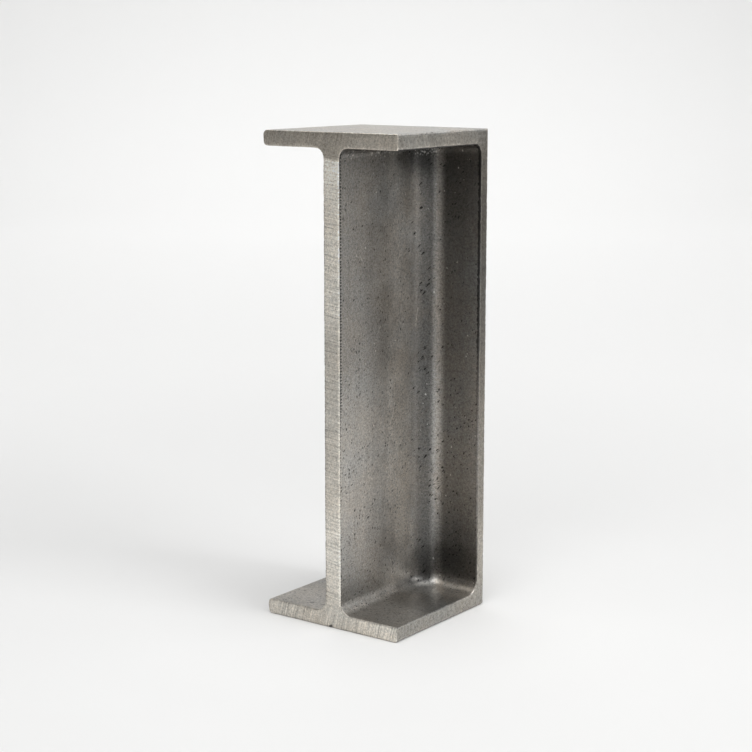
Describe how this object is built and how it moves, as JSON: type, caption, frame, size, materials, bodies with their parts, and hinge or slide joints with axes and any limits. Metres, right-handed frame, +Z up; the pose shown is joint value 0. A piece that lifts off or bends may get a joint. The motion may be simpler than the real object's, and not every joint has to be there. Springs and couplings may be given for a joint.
{
  "type": "steel h-beam",
  "caption": "Short upright steel H-beam offcut: a web between flanges, closed along its back by an end wall, with a wide root where web and wall meet, rounded inside corners and sawn edges.",
  "frame": {"origin": "middle of the foot, where the lower flange meets the ground", "axes": "+Z up from the lower flange to the upper one, +Y along the beam from the sawn end to the end wall, +X across the flanges towards the cut toes"},
  "size_m": [0.066, 0.063, 0.2],
  "materials": {
    "steel": "dark mill scale on the rolled faces, bare metal with saw marks on the cut edges"
  },
  "bodies": {
    "root": {"h_beam": "steel"}
  },
  "joints": []
}
